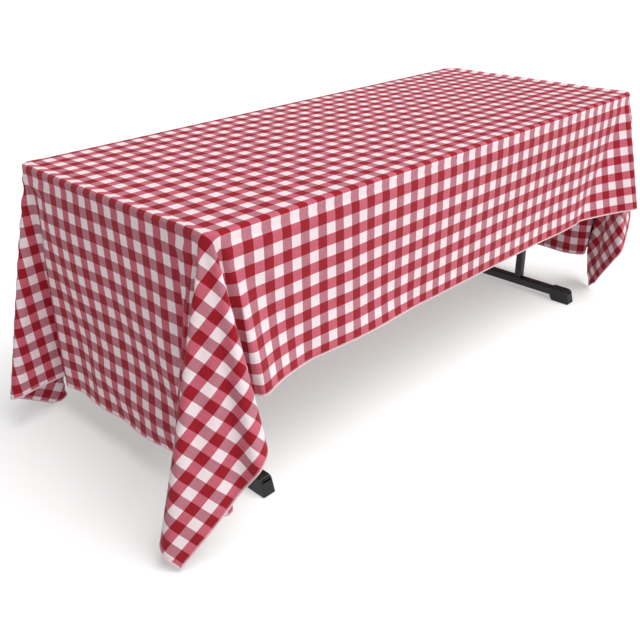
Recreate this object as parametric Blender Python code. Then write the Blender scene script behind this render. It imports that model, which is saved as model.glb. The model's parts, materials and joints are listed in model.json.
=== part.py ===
"""A folding banquet table under a gingham tablecloth.

Metres, +Z up. The origin is on the floor below the middle of the table, and +X runs along its length.
The table has a laminated top with an edge band, a steel underframe, and two T-foot legs that fold
inwards under the top. Each leg is held open by a brace of two links with a knee between them. The
cloth is one rectangle that lies on the top, hangs down on all four sides and gathers into an ear
at each corner.
"""

import math

import bmesh
import bpy
from mathutils import Matrix, Vector

# Overall sizes
TABLE_LENGTH = 1.800
TABLE_WIDTH = 0.760
TABLE_HEIGHT = 0.738
CLOTH_LENGTH = 3.050
CLOTH_WIDTH = 1.525

# Clearances
TOUCH = 0.0003
PIN_CLEARANCE = 0.0003

# Top panel and its edge band
PANEL_THICKNESS = 0.022
BAND_THICKNESS = 0.004
BAND_LIP = 0.002
BAND_ROUND = 0.0035
CORNER_RADIUS = 0.036

# Underframe rails, pressed channels that open outwards
RAIL_HEIGHT = 0.040
RAIL_DEPTH = 0.020
RAIL_WALL = 0.002
SIDE_RAIL_SETBACK = 0.010
END_RAIL_SETBACK = 0.030
CENTRE_RAIL_WIDTH = 0.030

# Legs
LEG_INSET = 0.157
HINGE_DROP = 0.036
POST_SIZE = 0.026
POST_SPACING = 0.236
TUBE_WALL = 0.0015
TUBE_ROUND = 0.003
PIVOT_BAR_DIAMETER = 0.025
CROSSBAR_DIAMETER = 0.016
FOOT_SETBACK = 0.040
FOOT_BAR_WIDTH = 0.030
FOOT_BAR_HEIGHT = 0.029
FOOT_BAR_LIFT = 0.017
FOOT_BAR_SHORT = 0.010
CAP_LENGTH = 0.078
CAP_WALL = 0.003
CAP_LIP_LENGTH = 0.008
CAP_SOLE_CHAMFER = 0.004
CAP_NOSE_LEAN = 0.010
CAP_NOSE_LENGTH = 0.016
CAP_NOSE_HEIGHT = 0.010
CAP_EDGE_ROUND = 0.002

# Hinges between the legs and the top
HINGE_BRACKET_LENGTH = 0.044
HINGE_BRACKET_SPACING = 0.350
BRACKET_PLATE = 0.003
BRACKET_FLANGE = 0.032
HINGE_PLATE_BELOW_AXIS = 0.016
HINGE_BOLT_DIAMETER = 0.010
HINGE_BOLT_GRIP = 0.028
BOLT_HEAD_DIAMETER = 0.017
BOLT_HEAD_HEIGHT = 0.0055

# Braces: an upper link on the top and a lower link on the leg's crossbar meet at a knee. The upper
# link is the longer one, so that it lies clear above the crossbar when the leg is folded.
BRACE_REACH = 0.360
BRACE_ON_LEG = 0.300
BRACE_PIN_DROP = 0.014
LINK_DIFFERENCE = 0.059
LINK_WIDTH = 0.018
LINK_THICKNESS = 0.004
LINK_SPACE = 0.001
PIN_DIAMETER = 0.008
PIN_HEAD_DIAMETER = 0.013
PIN_HEAD_HEIGHT = 0.0025
PIN_HEAD_CROWN = 0.6
EYE_WALL = 0.006
BRACE_BRACKET_LENGTH = 0.040
BRACE_BRACKET_WIDTH = 0.064
BRACE_WALL_GAP = 0.017
BRACE_WALL_BELOW_PIN = 0.011

# Wood screws
SCREW_DIAMETER = 0.004
SCREW_LENGTH = 0.014
SCREW_HEAD_DIAMETER = 0.009
SCREW_HEAD_HEIGHT = 0.0025
SCREW_HEAD_DOME = ((1.0, 0.64), (0.6, 0.90), (0.0, 1.0))
HINGE_SCREW_SPACING = 0.026
BRACE_SCREW_SPACING = 0.046

# Tablecloth
CLOTH_THICKNESS = 0.003
CLOTH_CLEARANCE = 0.005
CLOTH_EDGE_ROUND = 0.006
CLOTH_FLARE = 0.012
EAR_REACH = 0.190
EAR_TIP_WIDTH = 0.020
LAID_EAR_ANGLE = math.radians(8)
OPEN_EAR_ANGLE = math.radians(45)
OPEN_EAR_SHARE = 0.87

# How finely round shapes are divided
ROUND_STEPS = 20
SCREW_STEPS = 12
CORNER_STEPS = 6
TUBE_STEPS = 2
EDGE_STEPS = 3
LINK_END_STEPS = 8
CLOTH_ROWS = 6
EAR_STEPS = 8
SMOOTH_ANGLE = 40
CLOTH_SMOOTH_ANGLE = 50
ROUND_END_SPARE = 1e-5

UNDERSIDE = TABLE_HEIGHT - PANEL_THICKNESS
LEG_X = TABLE_LENGTH / 2 - LEG_INSET
HINGE_Z = UNDERSIDE - HINGE_DROP
FOOT_REACH = TABLE_WIDTH / 2 - FOOT_SETBACK
SIDES = {"left": -1, "right": 1}
ENDS = {"front": -1, "back": 1}


# ---------------------------------------------------------------- materials and objects


def make_material(name, colour, roughness, metallic=0.0):
    material = bpy.data.materials.new(name)
    material.use_nodes = True
    shader = material.node_tree.nodes["Principled BSDF"]
    shader.inputs["Base Color"].default_value = (*colour, 1.0)
    shader.inputs["Roughness"].default_value = roughness
    shader.inputs["Metallic"].default_value = metallic
    return material


def add_object(name, bm, material, origin=(0, 0, 0), parent=None, smooth_angle=None):
    """Turns a bmesh, modelled around its own origin, into an object whose origin is at a world point."""
    bmesh.ops.recalc_face_normals(bm, faces=bm.faces)
    mesh = bpy.data.meshes.new(name)
    bm.to_mesh(mesh)
    bm.free()
    mesh.materials.append(material)
    if smooth_angle is not None:
        mesh.shade_smooth()
        mesh.set_sharp_from_angle(angle=math.radians(smooth_angle))
    thing = bpy.data.objects.new(name, mesh)
    bpy.context.scene.collection.objects.link(thing)
    thing.parent = parent
    thing.location = Vector(origin) - (parent.location if parent else Vector())
    return thing


def add_axis(name, origin):
    """An empty on a joint's axis, which the moving pieces hang from."""
    empty = bpy.data.objects.new(name, None)
    empty.empty_display_size = 0.05
    empty.location = origin
    bpy.context.scene.collection.objects.link(empty)
    return empty


def add_cutter(name, bm):
    cutter = add_object(name, bm, STEEL)
    cutter.hide_render = True
    cutter.display_type = "WIRE"
    return cutter


def cut(thing, cutter):
    modifier = thing.modifiers.new("holes", "BOOLEAN")
    modifier.operation = "DIFFERENCE"
    modifier.solver = "EXACT"
    modifier.object = cutter


# ---------------------------------------------------------------- outlines and solids


def circle(radius, steps=ROUND_STEPS, centre=(0.0, 0.0)):
    turns = [2 * math.pi * step / steps for step in range(steps)]
    return [(centre[0] + radius * math.cos(t), centre[1] + radius * math.sin(t)) for t in turns]


def rounded_rectangle(width, height, radius, steps):
    """Counter-clockwise outline from the lower right corner round, centred on the origin."""
    points = []
    for quarter, (sx, sy) in enumerate([(1, -1), (1, 1), (-1, 1), (-1, -1)]):
        centre = (sx * (width / 2 - radius), sy * (height / 2 - radius))
        for step in range(steps + 1):
            turn = math.pi / 2 * (quarter - 1 + step / steps)
            points.append((centre[0] + radius * math.cos(turn), centre[1] + radius * math.sin(turn)))
    return points


def to_axis(axis, a, b, depth):
    """A point of an outline (a, b) at some depth along the axis that the outline is extruded along."""
    return {"X": (depth, a, b), "Y": (a, depth, b), "Z": (a, b, depth)}[axis]


def extrude(bm, axis, outline, start, end):
    """A prism on a simple outline."""
    rings = [[bm.verts.new(to_axis(axis, a, b, d)) for a, b in outline] for d in (start, end)]
    count = len(outline)
    for i in range(count):
        j = (i + 1) % count
        bm.faces.new((rings[0][i], rings[0][j], rings[1][j], rings[1][i]))
    bm.faces.new(rings[0])
    bm.faces.new(reversed(rings[1]))
    return rings


def extrude_tube(bm, axis, outer, inner, start, end):
    """A prism with a hole right through it. Both outlines have as many points."""
    count = len(outer)
    rings = [
        [bm.verts.new(to_axis(axis, a, b, d)) for a, b in outline]
        for outline, d in ((outer, start), (outer, end), (inner, end), (inner, start))
    ]
    for first, second in zip(rings, rings[1:] + rings[:1]):
        for i in range(count):
            j = (i + 1) % count
            bm.faces.new((first[i], first[j], second[j], second[i]))


def turned(bm, profile, start_axis="Y", steps=ROUND_STEPS):
    """A solid turned about an axis, from (distance along it, radius) pairs. It closes at both ends."""
    rings = [
        [bm.verts.new(to_axis(start_axis, a, b, along)) for a, b in circle(radius, steps)]
        for along, radius in profile
    ]
    for first, second in zip(rings, rings[1:]):
        for i in range(steps):
            j = (i + 1) % steps
            bm.faces.new((first[i], first[j], second[j], second[i]))
    bm.faces.new(rings[0])
    bm.faces.new(reversed(rings[-1]))


def channel_outline(depth, height, wall, side):
    """A C section in (across, up). Its web is at 0, and its flanges point to +side."""
    return [
        (0, 0),
        (side * depth, 0),
        (side * depth, wall),
        (side * wall, wall),
        (side * wall, height - wall),
        (side * depth, height - wall),
        (side * depth, height),
        (0, height),
    ]


# ---------------------------------------------------------------- table top


def screw_places():
    """Where each screw goes up into the panel: its name, x, y and the plate that it holds."""
    places = []
    flange_y = HINGE_BRACKET_SPACING / 2 + BRACKET_FLANGE / 2
    for side, sx in SIDES.items():
        for end, sy in ENDS.items():
            for number, shift in enumerate((-1, 1), start=1):
                x = sx * LEG_X + shift * HINGE_SCREW_SPACING / 2
                places.append((f"hinge_screw_{side}_{end}_{number}", x, sy * flange_y))
        for end, sy in ENDS.items():
            x = sx * (LEG_X - BRACE_REACH)
            places.append((f"brace_screw_{side}_{end}", x, sy * BRACE_SCREW_SPACING / 2))
    return places


def screw_hole_cutter():
    bm = bmesh.new()
    radius = SCREW_DIAMETER / 2 + TOUCH
    for _, x, y in screw_places():
        depth = UNDERSIDE + SCREW_LENGTH
        extrude(bm, "Z", circle(radius, SCREW_STEPS, (x, y)), UNDERSIDE - 2 * BRACKET_PLATE, depth)
    return add_cutter("screw_holes", bm)


def build_top(screw_holes):
    inset = 2 * (BAND_THICKNESS + TOUCH)
    panel_radius = CORNER_RADIUS - BAND_THICKNESS - TOUCH
    panel = rounded_rectangle(TABLE_LENGTH - inset, TABLE_WIDTH - inset, panel_radius, CORNER_STEPS)
    bm = bmesh.new()
    extrude(bm, "Z", panel, UNDERSIDE, TABLE_HEIGHT)
    top = add_object("table_top", bm, LAMINATE)
    cut(top, screw_holes)

    # The band's section, from its inner lower edge out, up and back over the rounded shoulder.
    low = UNDERSIDE - BAND_LIP
    section = [(BAND_THICKNESS, low), (0, low), (0, TABLE_HEIGHT - BAND_ROUND)]
    for step in range(1, EDGE_STEPS + 1):
        turn = math.pi / 2 * step / EDGE_STEPS
        rise = BAND_ROUND * math.sin(turn)
        section.append((BAND_ROUND * (1 - math.cos(turn)), TABLE_HEIGHT - BAND_ROUND + rise))
    section.append((BAND_THICKNESS, TABLE_HEIGHT))
    bm = bmesh.new()
    rings = []
    for depth, z in section:
        size = (TABLE_LENGTH - 2 * depth, TABLE_WIDTH - 2 * depth)
        outline = rounded_rectangle(*size, CORNER_RADIUS - depth, CORNER_STEPS)
        rings.append([bm.verts.new((x, y, z)) for x, y in outline])
    for first, second in zip(rings, rings[1:] + rings[:1]):
        for i in range(len(first)):
            j = (i + 1) % len(first)
            bm.faces.new((first[i], first[j], second[j], second[i]))
    add_object("edge_band", bm, BLACK_PLASTIC, smooth_angle=SMOOTH_ANGLE)


def build_rails():
    top = UNDERSIDE - TOUCH
    side_y = TABLE_WIDTH / 2 - SIDE_RAIL_SETBACK - RAIL_DEPTH
    end_x = TABLE_LENGTH / 2 - END_RAIL_SETBACK - RAIL_DEPTH
    for end, sy in ENDS.items():
        bm = bmesh.new()
        outline = channel_outline(RAIL_DEPTH, RAIL_HEIGHT, RAIL_WALL, sy)
        extrude(bm, "X", outline, -end_x - RAIL_DEPTH, end_x + RAIL_DEPTH)
        add_object(f"side_rail_{end}", bm, STEEL, (0, sy * side_y, top - RAIL_HEIGHT))
    for side, sx in SIDES.items():
        bm = bmesh.new()
        outline = channel_outline(RAIL_DEPTH, RAIL_HEIGHT, RAIL_WALL, sx)
        extrude(bm, "Y", outline, -side_y + TOUCH, side_y - TOUCH)
        add_object(f"end_rail_{side}", bm, STEEL, (sx * end_x, 0, top - RAIL_HEIGHT))
    bm = bmesh.new()
    outline = channel_outline(CENTRE_RAIL_WIDTH, RAIL_HEIGHT, RAIL_WALL, 1)
    extrude(bm, "Y", outline, -side_y + TOUCH, side_y - TOUCH)
    add_object("centre_rail", bm, STEEL, (-CENTRE_RAIL_WIDTH / 2, 0, top - RAIL_HEIGHT))


def build_screws():
    head_z = UNDERSIDE - BRACKET_PLATE - 2 * TOUCH
    for name, x, y in screw_places():
        bm = bmesh.new()
        radius = SCREW_HEAD_DIAMETER / 2
        profile = [(-SCREW_HEAD_HEIGHT * down, radius * share) for down, share in SCREW_HEAD_DOME]
        profile += [(0, SCREW_DIAMETER / 2), (SCREW_LENGTH, SCREW_DIAMETER / 2)]
        turned(bm, profile, "Z", SCREW_STEPS)
        add_object(name, bm, ZINC, (x, y, head_z), smooth_angle=SMOOTH_ANGLE)


# ---------------------------------------------------------------- hinges and braces on the top


def hinge_hole_cutter():
    bm = bmesh.new()
    radius = HINGE_BOLT_DIAMETER / 2 + PIN_CLEARANCE
    reach = HINGE_BRACKET_SPACING / 2 + BRACKET_FLANGE
    for sx in SIDES.values():
        for sy in ENDS.values():
            span = sorted((sy * reach, sy * HINGE_BRACKET_SPACING / 4))
            extrude(bm, "Y", circle(radius, centre=(sx * LEG_X, HINGE_Z)), *span)
    return add_cutter("hinge_holes", bm)


def build_hinge_brackets(screw_holes):
    holes = hinge_hole_cutter()
    top = UNDERSIDE - TOUCH
    low = HINGE_Z - HINGE_PLATE_BELOW_AXIS
    near = HINGE_BRACKET_SPACING / 2 - BRACKET_PLATE
    far = HINGE_BRACKET_SPACING / 2 + BRACKET_FLANGE
    for side, sx in SIDES.items():
        for end, sy in ENDS.items():
            outline = [
                (sy * near, low),
                (sy * (near + BRACKET_PLATE), low),
                (sy * (near + BRACKET_PLATE), top - BRACKET_PLATE),
                (sy * far, top - BRACKET_PLATE),
                (sy * far, top),
                (sy * near, top),
            ]
            bm = bmesh.new()
            half = HINGE_BRACKET_LENGTH / 2
            extrude(bm, "X", outline, sx * LEG_X - half, sx * LEG_X + half)
            bracket = add_object(f"hinge_bracket_{side}_{end}", bm, STEEL)
            cut(bracket, holes)
            cut(bracket, screw_holes)


def brace_shape():
    """The links' lengths with the leg open, where the knee lies from the leg's hinge, and their slope.

    Points are in the plane of the brace, as (outwards, up) from the hinge. The slope is the angle
    that both links turn down from the outward direction.
    """
    pin = Vector((-BRACE_REACH, HINGE_DROP - BRACE_PIN_DROP))
    bar = Vector((0, -BRACE_ON_LEG))
    span = (bar - pin).length
    upper = (span + LINK_DIFFERENCE) / 2
    lower = (span - LINK_DIFFERENCE) / 2
    slope = math.atan2(pin.y - bar.y, bar.x - pin.x)
    knee = pin + (bar - pin) * upper / span
    return upper, lower, knee, slope


def build_brace_brackets(screw_holes):
    bm = bmesh.new()
    pin_z = UNDERSIDE - BRACE_PIN_DROP
    radius = PIN_DIAMETER / 2 + PIN_CLEARANCE
    for sx in SIDES.values():
        centre = (sx * (LEG_X - BRACE_REACH), pin_z)
        extrude(bm, "Y", circle(radius, centre=centre), -BRACE_BRACKET_WIDTH, BRACE_BRACKET_WIDTH)
    holes = add_cutter("brace_pin_holes", bm)
    top = UNDERSIDE - TOUCH
    low = pin_z - BRACE_WALL_BELOW_PIN
    inner = BRACE_WALL_GAP / 2
    outer = inner + BRACKET_PLATE
    half_width = BRACE_BRACKET_WIDTH / 2
    plate = top - BRACKET_PLATE
    outline = [(inner, plate), (inner, low), (outer, low), (outer, plate), (half_width, plate)]
    outline += [(half_width, top), (-half_width, top)]
    outline += [(-half_width, plate), (-outer, plate), (-outer, low), (-inner, low), (-inner, plate)]
    for side, sx in SIDES.items():
        x = sx * (LEG_X - BRACE_REACH)
        bm = bmesh.new()
        half = BRACE_BRACKET_LENGTH / 2
        extrude(bm, "X", outline, x - half, x + half)
        bracket = add_object(f"brace_bracket_{side}", bm, STEEL)
        cut(bracket, holes)
        cut(bracket, screw_holes)
        bm = bmesh.new()
        seat = outer + TOUCH
        end = seat + PIN_HEAD_HEIGHT
        profile = [(-end, PIN_HEAD_DIAMETER / 2), (-seat, PIN_HEAD_DIAMETER / 2)]
        profile += [(-seat, PIN_DIAMETER / 2), (seat, PIN_DIAMETER / 2)]
        profile += [(seat, PIN_HEAD_DIAMETER / 2), (end, PIN_HEAD_DIAMETER / 2)]
        turned(bm, profile)
        add_object(f"brace_pin_{side}", bm, ZINC, (x, 0, pin_z), smooth_angle=SMOOTH_ANGLE)


# ---------------------------------------------------------------- legs


def square_tube(bm, axis, width, height, start, end):
    outer = rounded_rectangle(width, height, TUBE_ROUND, TUBE_STEPS)
    inner_size = (width - 2 * TUBE_WALL, height - 2 * TUBE_WALL)
    inner = rounded_rectangle(*inner_size, TUBE_ROUND - TUBE_WALL, TUBE_STEPS)
    extrude_tube(bm, axis, outer, inner, start, end)


def cap_outline():
    """A foot cap from the side, in (distance from the foot's outer end, height)."""
    top = FOOT_BAR_LIFT + FOOT_BAR_HEIGHT + CAP_WALL
    points = [
        (-CAP_LENGTH, top),
        (-CAP_LENGTH, FOOT_BAR_LIFT - CAP_WALL),
        (-CAP_LENGTH + CAP_LIP_LENGTH, 0),
        (-CAP_SOLE_CHAMFER, 0),
        (0, CAP_SOLE_CHAMFER),
    ]
    for step in range(EDGE_STEPS + 1):
        turn = math.pi / 2 * step / EDGE_STEPS
        back = CAP_NOSE_LEAN + CAP_NOSE_LENGTH * (1 - math.cos(turn))
        points.append((-back, top - CAP_NOSE_HEIGHT * (1 - math.sin(turn))))
    return points


def build_leg(side, sx):
    axis = add_axis(f"{side}_leg_axis", (sx * LEG_X, 0, HINGE_Z))
    x = sx * LEG_X
    bar_top = FOOT_BAR_LIFT + FOOT_BAR_HEIGHT

    bm = bmesh.new()
    half = HINGE_BRACKET_SPACING / 2 - BRACKET_PLATE - TOUCH
    bore = circle(HINGE_BOLT_DIAMETER / 2 + PIN_CLEARANCE)
    extrude_tube(bm, "Y", circle(PIVOT_BAR_DIAMETER / 2), bore, -half, half)
    add_object(f"pivot_bar_{side}", bm, BLACK_STEEL, (x, 0, HINGE_Z), axis, SMOOTH_ANGLE)

    post_top = HINGE_Z - PIVOT_BAR_DIAMETER / 2 - TOUCH
    for end, sy in ENDS.items():
        y = sy * POST_SPACING / 2
        bm = bmesh.new()
        square_tube(bm, "Z", POST_SIZE, POST_SIZE, bar_top + TOUCH, post_top)
        bmesh.ops.translate(bm, verts=bm.verts, vec=(0, 0, -HINGE_Z))
        add_object(f"leg_post_{side}_{end}", bm, BLACK_STEEL, (x, y, HINGE_Z), axis, SMOOTH_ANGLE)

        bm = bmesh.new()
        head = HINGE_BRACKET_SPACING / 2 + TOUCH
        profile = [(head - HINGE_BOLT_GRIP, HINGE_BOLT_DIAMETER / 2), (head, HINGE_BOLT_DIAMETER / 2)]
        profile += [(head, BOLT_HEAD_DIAMETER / 2), (head + BOLT_HEAD_HEIGHT, BOLT_HEAD_DIAMETER / 2)]
        turned(bm, [(sy * along, radius) for along, radius in profile])
        add_object(f"hinge_bolt_{side}_{end}", bm, ZINC, (x, 0, HINGE_Z), axis, SMOOTH_ANGLE)

    bm = bmesh.new()
    half = (POST_SPACING - POST_SIZE) / 2 - TOUCH
    profile = [(-half, CROSSBAR_DIAMETER / 2), (half, CROSSBAR_DIAMETER / 2)]
    turned(bm, profile)
    centre = (x, 0, HINGE_Z - BRACE_ON_LEG)
    add_object(f"crossbar_{side}", bm, BLACK_STEEL, centre, axis, SMOOTH_ANGLE)

    bm = bmesh.new()
    half = FOOT_REACH - FOOT_BAR_SHORT
    square_tube(bm, "Y", FOOT_BAR_WIDTH, FOOT_BAR_HEIGHT, -half, half)
    centre = (x, 0, FOOT_BAR_LIFT + FOOT_BAR_HEIGHT / 2)
    add_object(f"foot_bar_{side}", bm, BLACK_STEEL, centre, axis, SMOOTH_ANGLE)

    # The pocket in each cap, which the foot bar's end slides into
    bm = bmesh.new()
    size = (FOOT_BAR_WIDTH + 2 * TOUCH, FOOT_BAR_HEIGHT + 2 * TOUCH)
    pocket = rounded_rectangle(*size, TUBE_ROUND, TUBE_STEPS)
    middle = FOOT_BAR_LIFT + FOOT_BAR_HEIGHT / 2
    extrude(bm, "Y", [(x + a, middle + b) for a, b in pocket], -half - TOUCH, half + TOUCH)
    pocket_cutter = add_cutter(f"cap_pockets_{side}", bm)
    half_width = FOOT_BAR_WIDTH / 2 + CAP_WALL
    for end, sy in ENDS.items():
        bm = bmesh.new()
        outline = [(sy * (FOOT_REACH + along), z) for along, z in cap_outline()]
        extrude(bm, "X", outline, -half_width, half_width)
        bmesh.ops.recalc_face_normals(bm, faces=bm.faces)
        side_edges = [e for e in bm.edges if e.verts[0].co.x * e.verts[1].co.x > 0]
        rim = [e for e in side_edges if max(v.co.z for v in e.verts) > CAP_SOLE_CHAMFER]
        bmesh.ops.bevel(bm, geom=rim, offset=CAP_EDGE_ROUND, segments=2, affect="EDGES", profile=0.5)
        bmesh.ops.translate(bm, verts=bm.verts, vec=(0, 0, -HINGE_Z))
        cap = add_object(f"foot_cap_{side}_{end}", bm, BLACK_PLASTIC, (x, 0, HINGE_Z), axis, SMOOTH_ANGLE)
        cut(cap, pocket_cutter)


# ---------------------------------------------------------------- brace links


def link_outline(length, end_radius):
    """A flat bar with round ends, from the far end at (length, 0) round to the near end at (0, 0)."""
    points = []
    for step in range(LINK_END_STEPS + 1):
        turn = math.pi * (step / LINK_END_STEPS - 0.5)
        points.append((length + LINK_WIDTH / 2 * math.cos(turn), LINK_WIDTH / 2 * math.sin(turn)))
    opening = math.asin(LINK_WIDTH / 2 / end_radius)
    steps = 2 * LINK_END_STEPS
    for step in range(steps + 1):
        turn = opening + (2 * math.pi - 2 * opening) * step / steps
        points.append((end_radius * math.cos(turn), end_radius * math.sin(turn)))
    return points


def build_link(name, length, hole_radius, end_radius, y_start, y_end, origin, turn, sx, parent):
    """A link along +X from its own pivot, turned down by an angle and mirrored for the left side."""
    bm = bmesh.new()
    extrude(bm, "Y", link_outline(length, end_radius), y_start, y_end)
    link = add_object(name, bm, ZINC, origin, parent)
    link.rotation_euler = (0, turn if sx > 0 else math.pi - turn, 0)
    bm = bmesh.new()
    reach = abs(y_end - y_start)
    knee_radius = PIN_DIAMETER / 2 + PIN_CLEARANCE
    spans = (min(y_start, y_end) - reach, max(y_start, y_end) + reach)
    extrude(bm, "Y", circle(hole_radius), *spans)
    extrude(bm, "Y", circle(knee_radius, centre=(length, 0)), *spans)
    holes = add_cutter(f"{name}_holes", bm)
    holes.parent = parent
    holes.location = link.location
    holes.rotation_euler = link.rotation_euler
    cut(link, holes)


def build_knee_rivet(name, side_y, origin, parent):
    """Half of the knee's rivet: its head and the part of its shank in one link."""
    near = LINK_SPACE / 2 + TOUCH
    seat = LINK_SPACE / 2 + LINK_THICKNESS + TOUCH
    head = PIN_HEAD_DIAMETER / 2
    profile = [(near, PIN_DIAMETER / 2), (seat, PIN_DIAMETER / 2)]
    profile += [(seat, head), (seat + PIN_HEAD_HEIGHT, PIN_HEAD_CROWN * head)]
    bm = bmesh.new()
    turned(bm, [(side_y * along, radius) for along, radius in profile])
    add_object(name, bm, ZINC, origin, parent, SMOOTH_ANGLE)


def build_brace(side, sx):
    upper, lower, knee, slope = brace_shape()
    pin_x = sx * (LEG_X - BRACE_REACH)
    pin_z = UNDERSIDE - BRACE_PIN_DROP
    bar_z = HINGE_Z - BRACE_ON_LEG
    knee_place = (sx * (LEG_X + knee.x), 0, HINGE_Z + knee.y)
    near, far = LINK_SPACE / 2, LINK_SPACE / 2 + LINK_THICKNESS

    axis = add_axis(f"{side}_upper_link_axis", (pin_x, 0, pin_z))
    pin_hole = PIN_DIAMETER / 2 + PIN_CLEARANCE
    name = f"upper_link_{side}"
    end = LINK_WIDTH / 2 + ROUND_END_SPARE
    build_link(name, upper, pin_hole, end, near, far, axis.location, slope, sx, axis)
    build_knee_rivet(f"knee_rivet_upper_{side}", 1, knee_place, axis)

    axis = add_axis(f"{side}_lower_link_axis", (sx * LEG_X, 0, bar_z))
    eye = CROSSBAR_DIAMETER / 2 + PIN_CLEARANCE
    name = f"lower_link_{side}"
    turn = slope + math.pi
    build_link(name, lower, eye, eye + EYE_WALL, -far, -near, axis.location, turn, sx, axis)
    build_knee_rivet(f"knee_rivet_lower_{side}", -1, knee_place, axis)


# ---------------------------------------------------------------- tablecloth


def cloth_columns():
    """Top and hem points of the cloth's hanging part, round the table, as (top x, y), (hem x, y, z).

    A side panel is a pair of columns, and a corner is a fan of columns out to its ear and back. An
    ear hangs in the laid direction at the front left and back right corners, along the end panel's
    outward direction, and in the open direction, along the diagonal, at the other two.
    """
    half_l = TABLE_LENGTH / 2 + CLOTH_CLEARANCE
    half_w = TABLE_WIDTH / 2 + CLOTH_CLEARANCE
    side_drop = (CLOTH_WIDTH - TABLE_WIDTH) / 2
    end_drop = (CLOTH_LENGTH - TABLE_LENGTH) / 2
    top_z = TABLE_HEIGHT + TOUCH
    radius = CORNER_RADIUS + CLOTH_CLEARANCE
    columns = []
    corners = [(1, -1), (1, 1), (-1, 1), (-1, -1)]
    for quarter, (sx, sy) in enumerate(corners):
        laid = sx * sy > 0
        angle = LAID_EAR_ANGLE if laid else OPEN_EAR_ANGLE
        reach = EAR_REACH * (1 if laid else OPEN_EAR_SHARE)
        centre = Vector((sx * (half_l - radius), sy * (half_w - radius)))
        corner = Vector((sx * half_l, sy * half_w))
        ridge = corner + reach * Vector((sx * math.cos(angle), sy * math.sin(angle)))
        hang = math.hypot(side_drop, end_drop)
        tip_z = top_z - math.sqrt(hang**2 - reach**2)
        # Going round counter-clockwise, a corner starts from a side panel where sx * sy is below 0.
        from_side = sx * sy < 0
        first_z, last_z = top_z - side_drop, top_z - end_drop
        if not from_side:
            first_z, last_z = last_z, first_z
        for step in range(EAR_STEPS + 1):
            share = step / EAR_STEPS
            turn = math.pi / 2 * (quarter - 1 + share)
            outward = Vector((math.cos(turn), math.sin(turn)))
            top = centre + radius * outward
            foot = top + CLOTH_FLARE * outward
            # The first and last steps are the valleys beside the panels, and the ridge is half-way.
            out = 1 - abs(2 * share - 1)
            across = Vector((-outward.y, outward.x)) * EAR_TIP_WIDTH * (share - 0.5)
            hem = foot.lerp(ridge + across, out)
            edge_z = first_z if share < 0.5 else last_z
            columns.append((top, Vector((*hem, edge_z + (tip_z - edge_z) * out))))
    return columns


def build_cloth():
    columns = cloth_columns()
    top_z = TABLE_HEIGHT + TOUCH
    bm = bmesh.new()
    rings = []
    shoulder = []
    for step in range(EDGE_STEPS + 1):
        turn = math.pi / 2 * step / EDGE_STEPS
        inward = CLOTH_EDGE_ROUND * (1 - math.sin(turn))
        fall = CLOTH_EDGE_ROUND * (1 - math.cos(turn))
        shoulder.append((inward, fall))
    half_l = TABLE_LENGTH / 2 + CLOTH_CLEARANCE
    half_w = TABLE_WIDTH / 2 + CLOTH_CLEARANCE
    for inward, fall in shoulder:
        scale = Vector((1 - inward / half_l, 1 - inward / half_w))
        rings.append([bm.verts.new((t.x * scale.x, t.y * scale.y, top_z - fall)) for t, _ in columns])
    for row in range(1, CLOTH_ROWS + 1):
        share = row / CLOTH_ROWS
        ring = []
        for top, hem in columns:
            start = Vector((*top, top_z - CLOTH_EDGE_ROUND))
            ring.append(bm.verts.new(start.lerp(hem, share)))
        rings.append(ring)
    count = len(columns)
    for first, second in zip(rings, rings[1:]):
        for i in range(count):
            j = (i + 1) % count
            bm.faces.new((first[i], first[j], second[j], second[i]))
    bm.faces.new(rings[0])
    cloth = add_object("tablecloth", bm, GINGHAM, smooth_angle=CLOTH_SMOOTH_ANGLE)
    shell = cloth.modifiers.new("thickness", "SOLIDIFY")
    shell.thickness = CLOTH_THICKNESS
    shell.offset = 1.0
    shell.use_even_offset = True


for old in list(bpy.data.objects):
    bpy.data.objects.remove(old, do_unlink=True)

LAMINATE = make_material("laminate", (0.62, 0.58, 0.52), 0.45)
BLACK_PLASTIC = make_material("black_plastic", (0.015, 0.015, 0.015), 0.55)
BLACK_STEEL = make_material("black_steel", (0.012, 0.012, 0.013), 0.42, 0.2)
STEEL = make_material("rail_steel", (0.05, 0.05, 0.055), 0.5, 0.6)
ZINC = make_material("zinc_plate", (0.55, 0.55, 0.56), 0.35, 1.0)
GINGHAM = make_material("gingham", (0.55, 0.20, 0.22), 0.85)

SCREW_HOLES = screw_hole_cutter()
build_top(SCREW_HOLES)
build_rails()
build_hinge_brackets(SCREW_HOLES)
build_brace_brackets(SCREW_HOLES)
build_screws()
for name, direction in SIDES.items():
    build_leg(name, direction)
    build_brace(name, direction)
build_cloth()
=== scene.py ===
# %% [markdown]
# A gingham tablecloth on a folding banquet table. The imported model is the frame: it holds the table, its
# legs and their braces at their real size, in metres, with the floor at z = 0. This script only adds
# looks. Its main job is the cloth: one flat rectangle of fabric that is laid over the table and left to
# hang under its own weight. A modeller could sculpt the folds by hand, but cloth has a fixed amount of
# fabric in it, so a short simulation of the real rectangle gives folds that a sculpted sheet would miss.

# %% Tools and frame
import json
import math

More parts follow.
